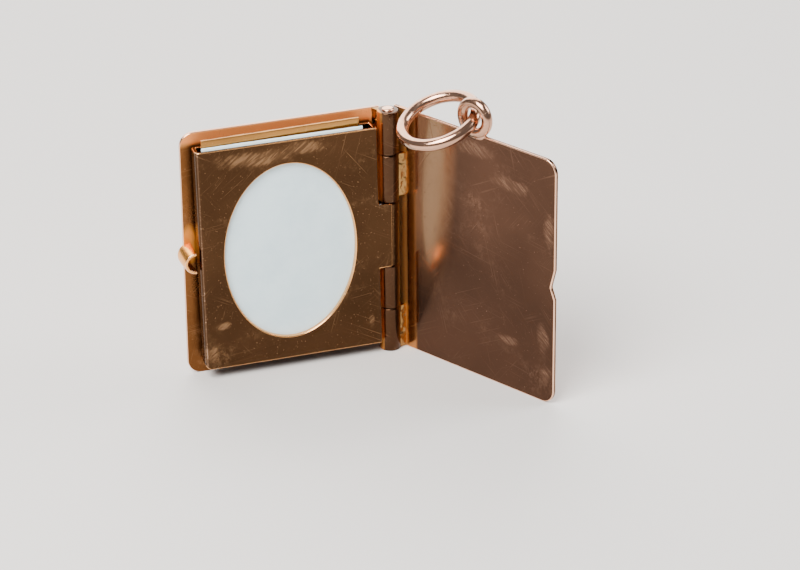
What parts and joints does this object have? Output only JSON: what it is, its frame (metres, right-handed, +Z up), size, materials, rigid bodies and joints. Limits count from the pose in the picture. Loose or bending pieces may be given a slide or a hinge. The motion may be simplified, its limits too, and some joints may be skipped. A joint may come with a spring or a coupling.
{
  "type": "book locket",
  "caption": "Gold book locket standing open: two hinged covers, a picture page with an oval window over paper, a bowed catch, a bail eye and a jump ring",
  "frame": {"origin": "foot of the hinge pin, on the surface that the locket stands on", "axes": "+Z up along the hinge pin, -Y towards the reader of the page, -X from the hinge to the free edge of the back cover"},
  "size_m": [0.0276, 0.0155, 0.0251],
  "materials": {
    "rose_gold": "polished, worn",
    "rose_gold_mirror": "mirror polished, scratched",
    "yellow_gold": "polished, scratched",
    "paper": "matt"
  },
  "bodies": {
    "back": {"back_cover": "rose_gold", "hinge_pin": "rose_gold"},
    "page": {"page_frame": "yellow_gold", "picture_paper": "paper", "backing_plate": "yellow_gold"},
    "front": {"front_cover": "rose_gold_mirror"},
    "ring": {"jump_ring": "rose_gold"}
  },
  "joints": [
    {"name": "page_turn", "type": "hinge", "parent": "back", "child": "page", "pos_m": [0, 0, 0], "axis": [0, 0, 1], "range_deg": [0, 55]},
    {"name": "cover_turn", "type": "hinge", "parent": "page", "child": "front", "pos_m": [0, 0, 0], "axis": [0, 0, 1], "range_deg": [-120, 0]},
    {"name": "ring_lift", "type": "hinge", "parent": "front", "child": "ring", "pos_m": [0.00227, -0.00158, 0.02264], "axis": [0.4969, -0.8607, 0.1112], "range_deg": [-36, 0]}
  ],
  "couplings": [
    {"joint": "ring_lift", "follows": "cover_turn", "ratio": 0.3}
  ]
}
